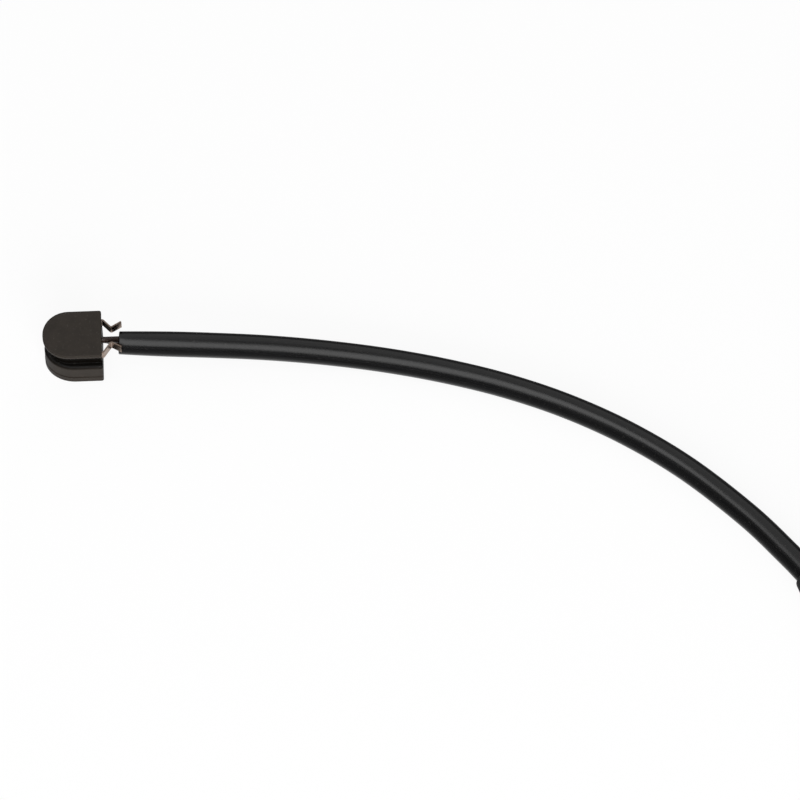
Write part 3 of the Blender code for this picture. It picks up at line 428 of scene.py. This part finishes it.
# %% The grain group
grain, entry, leave = new_group(
    "Fine grain",
    [("Vector", VECTOR, None), ("Coarse Scale", FLOAT, 300.0), ("Fine Scale", FLOAT, 4000.0)],
    [("Height", FLOAT), ("Mottle", FLOAT)],
)
coarse = add(grain, "ShaderNodeTexNoise", Detail=4.0, Roughness=0.6)
fine = add(grain, "ShaderNodeTexNoise", Detail=2.0, Roughness=0.5)
join(grain, entry.outputs["Vector"], coarse.inputs["Vector"], fine.inputs["Vector"])
join(grain, entry.outputs["Coarse Scale"], coarse.inputs["Scale"])
join(grain, entry.outputs["Fine Scale"], fine.inputs["Scale"])
join(grain, calculate(grain, "ADD", coarse.outputs["Fac"], fine.outputs["Fac"]), leave.inputs["Height"])
join(grain, coarse.outputs["Fac"], leave.inputs["Mottle"])
print("Built", grain.name)

# %% [markdown]
# ### Worn and highlit edges
# Corners of a moulding are paler than its faces, partly rubbed by wear and partly a painted highlight.
# The Bevel node gives the normal that a rounded corner would have.
# It differs from the true normal only near an edge.
# A noise breaks the edge up, because wear is never even.

# %% The worn edge group
worn_and_highlit_edges, entry, leave = new_group(
    "Worn and highlit edges",
    [("Vector", VECTOR, None), ("Reach", FLOAT, 0.0003), ("Amount", FLOAT, 0.4)],
    [("Mask", FLOAT)],
)
rounded = add(worn_and_highlit_edges, "ShaderNodeBevel", samples=4)
surface = add(worn_and_highlit_edges, "ShaderNodeNewGeometry")
agree = add(worn_and_highlit_edges, "ShaderNodeVectorMath", operation="DOT_PRODUCT")
patchy = add(worn_and_highlit_edges, "ShaderNodeTexNoise", Scale=900.0, Detail=3.0)
join(worn_and_highlit_edges, entry.outputs["Reach"], rounded.inputs["Radius"])
join(worn_and_highlit_edges, rounded.outputs["Normal"], agree.inputs[0])
join(worn_and_highlit_edges, surface.outputs["Normal"], agree.inputs[1])
join(worn_and_highlit_edges, entry.outputs["Vector"], patchy.inputs["Vector"])
# Where the rounded normal turns away, the mask marks wear and a painted highlight.
turned_away = remapped(worn_and_highlit_edges, agree.outputs["Value"], From_Min=0.98, From_Max=0.80)
wear_and_highlight_mask = product(worn_and_highlit_edges, turned_away, patchy.outputs["Fac"], entry.outputs["Amount"])
join(worn_and_highlit_edges, wear_and_highlight_mask, leave.inputs["Mask"])
print("Built", worn_and_highlit_edges.name)

# %% [markdown]
# ### Painted shade in recesses
# A groove in a dark moulding gets painted shade, as little light finds its way into it.
# The Ambient Occlusion node measures how open a point is, counting only the piece itself.

# %% The recess group
painted_recess_shade, entry, leave = new_group(
    "Painted recess shade",
    [("Distance", FLOAT, 0.007), ("Amount", FLOAT, 0.8)],
    [("Mask", FLOAT)],
)
openness = add(painted_recess_shade, "ShaderNodeAmbientOcclusion", samples=8, only_local=True)
join(painted_recess_shade, entry.outputs["Distance"], openness.inputs["Distance"])
# How closed in a point is becomes the mask of painted shade.
closed_in = remapped(painted_recess_shade, openness.outputs["AO"], From_Min=0.97, From_Max=0.70)
join(painted_recess_shade, product(painted_recess_shade, closed_in, entry.outputs["Amount"]), leave.inputs["Mask"])
print("Built", painted_recess_shade.name)

# %% [markdown]
# ### Settled dust
# Dust lies on what faces up, in small specks.
# The mask is the upward share of the surface normal times a noise.
# The noise is cut off high, so that most of the surface is clean.

# %% The dust group
settled_dust, entry, leave = new_group(
    "Settled dust",
    [("Vector", VECTOR, None), ("Scale", FLOAT, 1500.0), ("Amount", FLOAT, 0.2)],
    [("Mask", FLOAT)],
)
surface = add(settled_dust, "ShaderNodeNewGeometry")
specks = add(settled_dust, "ShaderNodeTexNoise", Detail=3.0, Roughness=0.7)
join(settled_dust, entry.outputs["Vector"], specks.inputs["Vector"])
join(settled_dust, entry.outputs["Scale"], specks.inputs["Scale"])
cut = remapped(settled_dust, specks.outputs["Fac"], From_Min=0.60, From_Max=0.72)
upward = calculate(settled_dust, "MAXIMUM", axis_of(settled_dust, surface.outputs["Normal"], "Z"))
join(settled_dust, product(settled_dust, upward, cut, entry.outputs["Amount"]), leave.inputs["Mask"])
print("Built", settled_dust.name)

# %% [markdown]
# ### A tube's own directions
# Drawn sleeves and wires have faint lines along them, which have to follow the bends.
# Their UV map holds the distance along the tube in metres and the share of the way round.
# The way round is turned into a sine and a cosine, so that the pattern has no seam.

# %% The tube group
along_tube, entry, leave = new_group(
    "Along a tube",
    [("UV", VECTOR, None), ("Along Scale", FLOAT, 30.0), ("Round Scale", FLOAT, 8.0)],
    [("Vector", VECTOR)],
)
merge = add(along_tube, "ShaderNodeCombineXYZ")
lengthwise = axis_of(along_tube, entry.outputs["UV"], "X")
join(along_tube, product(along_tube, lengthwise, entry.outputs["Along Scale"]), merge.inputs["X"])
way_round = product(along_tube, axis_of(along_tube, entry.outputs["UV"], "Y"), math.tau)
for axis, operation in (("Y", "COSINE"), ("Z", "SINE")):
    wave = calculate(along_tube, operation, way_round)
    join(along_tube, product(along_tube, wave, entry.outputs["Round Scale"]), merge.inputs[axis])
join(along_tube, merge.outputs["Vector"], leave.inputs["Vector"])
print("Built", along_tube.name)

# %% [markdown]
# ### Layers that several finishes share
# The mottling moves the colour between two shades and the roughness between two values.
# Painted shade in recesses, edges paler by wear and a painted highlight, and dust are then mixed over the
# colour by their masks.
# The head's groove gets a band of painted shade, which reaches as far down as the groove's lower lip.
# A Mix node has sockets for every kind of data, and the colour ones are reached by their numbers.

# %% Shared layers
DUST_COLOUR = (0.30, 0.28, 0.25)
# The colour of painted shade, in recesses and in the groove's band.
SHADE_COLOUR = (0.002, 0.0015, 0.001)
MIX_FIRST = 6
MIX_SECOND = 7
MIX_RESULT = 2


def mottled(tree, texture, dark, light, roughness):
    """A colour between two shades and a roughness between two values, by the grain's mottling."""
    colours = add(tree, "ShaderNodeValToRGB")
    for element, position, shade in zip(colours.color_ramp.elements, (0.35, 0.65), (dark, light)):
        element.position = position
        element.color = (*shade, 1.0)
    join(tree, texture.outputs["Mottle"], colours.inputs["Fac"])
    gloss = remapped(tree, texture.outputs["Mottle"], To_Min=roughness[0], To_Max=roughness[1])
    join(tree, gloss, tree.nodes["Principled BSDF"].inputs["Roughness"])
    return colours.outputs["Color"]


def covered(tree, colour, mask, cover):
    """Mixes a plain colour over another by a mask."""
    blend = add(tree, "ShaderNodeMix", data_type="RGBA")
    blend.inputs[MIX_SECOND].default_value = (*cover, 1.0)
    join(tree, mask, blend.inputs["Factor"])
    join(tree, colour, blend.inputs[MIX_FIRST])
    return blend.outputs[MIX_RESULT]


def shaded_band(tree, colour, place, lowest, full, highest):
    """Paints shade over a band between two heights, which fades in from its lower border."""
    height = axis_of(tree, place, "Z")
    fade = remapped(tree, height, From_Min=lowest, From_Max=full)
    below = calculate(tree, "LESS_THAN", height, highest)
    return covered(tree, colour, product(tree, fade, below), SHADE_COLOUR)


def embossed(tree, height, strength, distance, corner=0.0):
    """Feeds a height through a Bump node to the shader's normal, over corners rounded by a radius."""
    relief = add(tree, "ShaderNodeBump", Strength=strength, Distance=distance)
    join(tree, height, relief.inputs["Height"])
    if corner:
        rounding = add(tree, "ShaderNodeBevel", samples=6, Radius=corner)
        join(tree, rounding.outputs["Normal"], relief.inputs["Normal"])
    join(tree, relief.outputs["Normal"], tree.nodes["Principled BSDF"].inputs["Normal"])


print("Shared layers are ready")

# %% [markdown]
# ### Moulded finishes
# The head, the plug, the grommet and the ties differ in colour, gloss and grain.
# They are otherwise made alike.
# The head's plastic is a warm black with a fine matt grain, as a filled resin comes out of its mould.

# %% Moulded finishes
MOULDED_FINE_SCALE = 5000
MOULDED_RELIEF = 0.00005
finishes = {}


def moulded(
    name, dark, light, worn_and_highlit, roughness, bump, corner, wear_and_highlight=0.3, dust=0.1, recess_shade=0.4, specular=0.4, shade_band=None
):
    """A moulded plastic or rubber: mottled, grainy, with painted shade in recesses, edges paler by wear and a
    painted highlight, lightly dusty, with a band of painted shade if asked.
    """
    material, tree, shader = new_finish(name, Specular_IOR_Level=specular)
    place = add(tree, "ShaderNodeTexCoord").outputs["Object"]
    texture = add(tree, "ShaderNodeGroup", node_tree=grain, Fine_Scale=MOULDED_FINE_SCALE)
    edges = add(tree, "ShaderNodeGroup", node_tree=worn_and_highlit_edges, Amount=wear_and_highlight)
    specks = add(tree, "ShaderNodeGroup", node_tree=settled_dust, Amount=dust)
    recess_shade_node = add(tree, "ShaderNodeGroup", node_tree=painted_recess_shade, Amount=recess_shade)
    join(tree, place, texture.inputs["Vector"], edges.inputs["Vector"], specks.inputs["Vector"])
    colour = mottled(tree, texture, dark, light, roughness)
    # Painted shade darkens the recesses.
    colour = covered(tree, colour, recess_shade_node.outputs["Mask"], SHADE_COLOUR)
    # Edges turn paler, partly by wear and partly by a painted highlight.
    colour = covered(tree, colour, edges.outputs["Mask"], worn_and_highlit)
    # A band of painted shade darkens the head's groove.
    if shade_band:
        colour = shaded_band(tree, colour, place, *shade_band)
    colour = covered(tree, colour, specks.outputs["Mask"], DUST_COLOUR)
    join(tree, colour, shader.inputs["Base Color"])
    embossed(tree, texture.outputs["Height"], bump, MOULDED_RELIEF, corner)
    return material


# The head gets strong painted shade in its recesses and a band of painted shade in its groove, from 5.9 to
# 11.8 mm up.
finishes["head_plastic"] = moulded(
    "Head plastic", dark=(0.0176, 0.0137, 0.0104), light=(0.0234, 0.0184, 0.0142), worn_and_highlit=(0.066, 0.057, 0.049),
    roughness=(0.42, 0.54), bump=0.3, corner=0.0005, wear_and_highlight=0.15, recess_shade=0.9, specular=0.22,
    shade_band=(0.0059, 0.0069, 0.0118),
)
finishes["grommet_rubber"] = moulded(
    "Grommet rubber", dark=(0.009, 0.009, 0.009), light=(0.016, 0.016, 0.016), worn_and_highlit=(0.04, 0.04, 0.04),
    roughness=(0.55, 0.70), bump=0.4, corner=0.0002, dust=0.2,
)
finishes["tie_nylon"] = moulded(
    "Tie nylon", dark=(0.012, 0.012, 0.013), light=(0.022, 0.022, 0.023), worn_and_highlit=(0.07, 0.07, 0.07),
    roughness=(0.35, 0.45), bump=0.2, corner=0.0001,
)
finishes["connector_plastic"] = moulded(
    "Connector plastic", dark=(0.014, 0.014, 0.015), light=(0.025, 0.025, 0.026), worn_and_highlit=(0.08, 0.08, 0.08),
    roughness=(0.40, 0.56), bump=0.4, corner=0.0002,
)
finishes["seal_silicone"] = moulded(
    "Seal silicone", dark=(0.26, 0.085, 0.05), light=(0.34, 0.12, 0.07), worn_and_highlit=(0.42, 0.17, 0.11),
    roughness=(0.50, 0.62), bump=0.2, corner=0.0001,
)
finishes["lock_plastic"] = moulded(
    "Lock plastic", dark=(0.52, 0.50, 0.44), light=(0.66, 0.63, 0.57), worn_and_highlit=(0.74, 0.72, 0.66),
    roughness=(0.45, 0.60), bump=0.2, corner=0.0001,
)
print("Moulded finishes are ready")

# %% [markdown]
# ### Drawn finishes
# The sleeve is a smooth black tube and the wires have thin dark brown insulation.
# Both were drawn through a die, so their grain and the changes in their gloss are stretched along them.

# %% Drawn finishes
DRAWN_RELIEF = 0.00003


def drawn(name, dark, light, roughness, bump, dust=0.06, specular=0.5):
    """A drawn sleeve or insulation, with faint lines that follow the tube."""
    material, tree, shader = new_finish(name, Specular_IOR_Level=specular)
    place = add(tree, "ShaderNodeTexCoord")
    follow = add(tree, "ShaderNodeGroup", node_tree=along_tube)
    texture = add(tree, "ShaderNodeGroup", node_tree=grain, Coarse_Scale=1.0, Fine_Scale=5.0)
    specks = add(tree, "ShaderNodeGroup", node_tree=settled_dust, Amount=dust)
    join(tree, place.outputs["UV"], follow.inputs["UV"])
    join(tree, follow.outputs["Vector"], texture.inputs["Vector"])
    join(tree, place.outputs["Object"], specks.inputs["Vector"])
    colour = mottled(tree, texture, dark, light, roughness)
    colour = covered(tree, colour, specks.outputs["Mask"], DUST_COLOUR)
    join(tree, colour, shader.inputs["Base Color"])
    embossed(tree, texture.outputs["Height"], bump, DRAWN_RELIEF)
    return material


finishes["sleeve_rubber"] = drawn(
    "Sleeve rubber", dark=(0.003, 0.003, 0.0032), light=(0.0055, 0.0055, 0.0058),
    roughness=(0.23, 0.32), bump=0.2, specular=0.38,
)
finishes["wire_insulation"] = drawn(
    "Wire insulation", dark=(0.014, 0.008, 0.006), light=(0.023, 0.013, 0.010),
    roughness=(0.32, 0.45), bump=0.2,
)
print("Drawn finishes are ready")

# %% [markdown]
# ### Metal finishes
# The spring strip is bright steel with a warm tint, drawn lengthwise and stained in patches.
# It is smooth enough to mirror what stands beside it, so its inner faces look dark brown against the head.
# Its edges, which face up and down, carry painted shade that makes them darker than its rolled faces.
# The terminals and the contact loop are plainer metals that hardly show.

# %% Metals
# The colour of painted shade on the strip's up- and down-facing edges.
EDGE_SHADE_COLOUR = (0.07, 0.055, 0.045)
METAL_BUMP = 0.2
METAL_RELIEF = 0.00003
FINER = 6


def metal(name, dark, light, roughness, scale, stretch=(1, 1, 1), edge_shade=0.0):
    """A metal with streaks along one direction, and painted shade by a share on its faces that point up or
    down.
    """
    material, tree, shader = new_finish(name, Metallic=1.0)
    place = add(tree, "ShaderNodeTexCoord")
    stretched = add(tree, "ShaderNodeMapping", Scale=stretch)
    texture = add(tree, "ShaderNodeGroup", node_tree=grain, Coarse_Scale=scale, Fine_Scale=scale * FINER)
    surface = add(tree, "ShaderNodeNewGeometry")
    join(tree, place.outputs["Object"], stretched.inputs["Vector"])
    join(tree, stretched.outputs["Vector"], texture.inputs["Vector"])
    level = calculate(tree, "ABSOLUTE", axis_of(tree, surface.outputs["True Normal"], "Z"))
    colour = mottled(tree, texture, dark, light, roughness)
    # Faces that point up or down get painted shade.
    colour = covered(tree, colour, product(tree, level, edge_shade), EDGE_SHADE_COLOUR)
    join(tree, colour, shader.inputs["Base Color"])
    embossed(tree, texture.outputs["Height"], METAL_BUMP, METAL_RELIEF)
    return material


# The spring steel gets painted shade on its up- and down-facing edges.
finishes["spring_steel"] = metal(
    "Spring steel", dark=(0.36, 0.25, 0.18), light=(0.60, 0.50, 0.44), roughness=(0.14, 0.26),
    scale=500, stretch=(1, 1, 8), edge_shade=0.65,
)
finishes["tinned_brass"] = metal(
    "Tinned brass", dark=(0.55, 0.53, 0.48), light=(0.72, 0.70, 0.66), roughness=(0.30, 0.45), scale=600
)
finishes["copper"] = metal(
    "Bare copper", dark=(0.62, 0.28, 0.15), light=(0.78, 0.42, 0.27), roughness=(0.30, 0.45), scale=600
)
print("Metals are ready")

# %% [markdown]
# ### Who wears what
# The record names a finish for every node, so one loop dresses all the solids.
# The swept sleeve and wires get theirs after it.

# %% Put every finish on its piece
subparts = frame["record"]["subparts"]
for part in subparts:
    mesh = nodes[part["node"]].data
    mesh.materials.clear()
    mesh.materials.append(finishes[part["material_slot"]])
sleeve.data.materials.append(finishes["sleeve_rubber"])
for piece in wires.values():
    piece.data.materials.append(finishes["wire_insulation"])
print("Finishes are on", len(subparts), "nodes and", 1 + len(wires), "swept pieces")

# %% [markdown]
# ## The floor
# The floor is pale and plain, and wide enough to fill every view.
# The camera sees it as white through Light Path, so no flood of light is needed to whiten the background.
# A tenth of what the camera sees is the lit paper itself, which keeps a trace of the object's shadow.
# Mirrors see the sheet fade toward the horizon, as a real sheet ends near the object in a dark room.

# %% Build the floor
FLOOR_SIZE = 6.0
PAPER_COLOUR = (0.82, 0.82, 0.82, 1.0)
WHITE_LEVEL = 0.995
WHITE_FOR_CAMERA = 0.9
WHITE_FOR_MIRRORS = 0.9
FADE_POWER = 2.8
FIRST_SHADER = 1
SECOND_SHADER = 2

bm = bmesh.new()
bmesh.ops.create_grid(bm, x_segments=1, y_segments=1, size=FLOOR_SIZE / 2)
mesh = bpy.data.meshes.new("floor")
bm.to_mesh(mesh)
bm.free()
floor = bpy.data.objects.new("floor", mesh)
scene.collection.objects.link(floor)

paper, tree, shader = new_finish(
    "Floor paper", Base_Color=PAPER_COLOUR, Roughness=0.9, Specular_IOR_Level=0.1
)
glow = add(tree, "ShaderNodeEmission", Strength=WHITE_LEVEL)
blend = add(tree, "ShaderNodeMixShader")
rays = add(tree, "ShaderNodeLightPath").outputs
grazing = add(tree, "ShaderNodeLayerWeight", Blend=0.5).outputs["Facing"]
steep = calculate(tree, "POWER", calculate(tree, "SUBTRACT", 1.0, grazing), FADE_POWER)
join(tree, calculate(tree, "MAXIMUM", rays["Is Camera Ray"], steep), glow.inputs["Color"])
mirror_ray = calculate(tree, "MAXIMUM", rays["Is Glossy Ray"], rays["Is Transmission Ray"])
mirror_share = product(tree, mirror_ray, WHITE_FOR_MIRRORS)
camera_share = product(tree, rays["Is Camera Ray"], WHITE_FOR_CAMERA)
join(tree, calculate(tree, "MAXIMUM", camera_share, mirror_share), blend.inputs["Fac"])
join(tree, shader.outputs["BSDF"], blend.inputs[FIRST_SHADER])
join(tree, glow.outputs["Emission"], blend.inputs[SECOND_SHADER])
join(tree, blend.outputs["Shader"], tree.nodes["Material Output"].inputs["Surface"])
mesh.materials.append(paper)
print("Floor is", FLOOR_SIZE, "m across")

# %% [markdown]
# ## The light
# One long soft light hangs askew above, and its mirror image is the highlight along the lead.
# A second one behind gives the upper edges a dim sheen.
# A low one in front lights the sides without being mirrored.
# The lamps and the dim world together show a colour about as it is written.

# %% Lights and world
AIM = Vector((0.10, -0.02, 0.0))
WORLD_LEVEL = 0.12
WORLD_IN_MIRRORS = 0.04


def soft_light(name, place, size, power, roll=0.0, mirrored=True):
    """A rectangular area light that points at the object, which glossy surfaces mirror or not."""
    data = bpy.data.lights.new(name, "AREA")
    data.shape = "RECTANGLE"
    data.size, data.size_y = size
    data.energy = power
    lamp = bpy.data.objects.new(name, data)
    lamp.location = place
    facing = (AIM - Vector(place)).to_track_quat("-Z", "Y")
    lamp.rotation_euler = (facing @ Quaternion((0, 0, 1), math.radians(roll))).to_euler()
    lamp.visible_glossy = mirrored
    scene.collection.objects.link(lamp)


soft_light("overhead", place=(-0.19, -0.58, 1.50), size=(0.95, 2.20), power=19, roll=54)
soft_light("back", place=(0.10, 1.25, 1.20), size=(2.6, 2.0), power=12)
soft_light("front", place=(0.30, -1.40, 0.45), size=(1.2, 0.9), power=31, mirrored=False)

world = bpy.data.worlds.new("studio")
scene.world = world
world.use_nodes = True
tree = world.node_tree
backdrop = tree.nodes["Background"]
backdrop.inputs["Color"].default_value = (1.0, 1.0, 1.0, 1.0)
mirror_ray = add(tree, "ShaderNodeLightPath").outputs["Is Glossy Ray"]
lost = product(tree, mirror_ray, WORLD_LEVEL - WORLD_IN_MIRRORS)
join(tree, calculate(tree, "SUBTRACT", WORLD_LEVEL, lost), backdrop.inputs["Strength"])
scene.view_settings.view_transform = "Standard"
print("Lights are on")

# %% [markdown]
# ## The end

# %% The end
print("Scene is built")
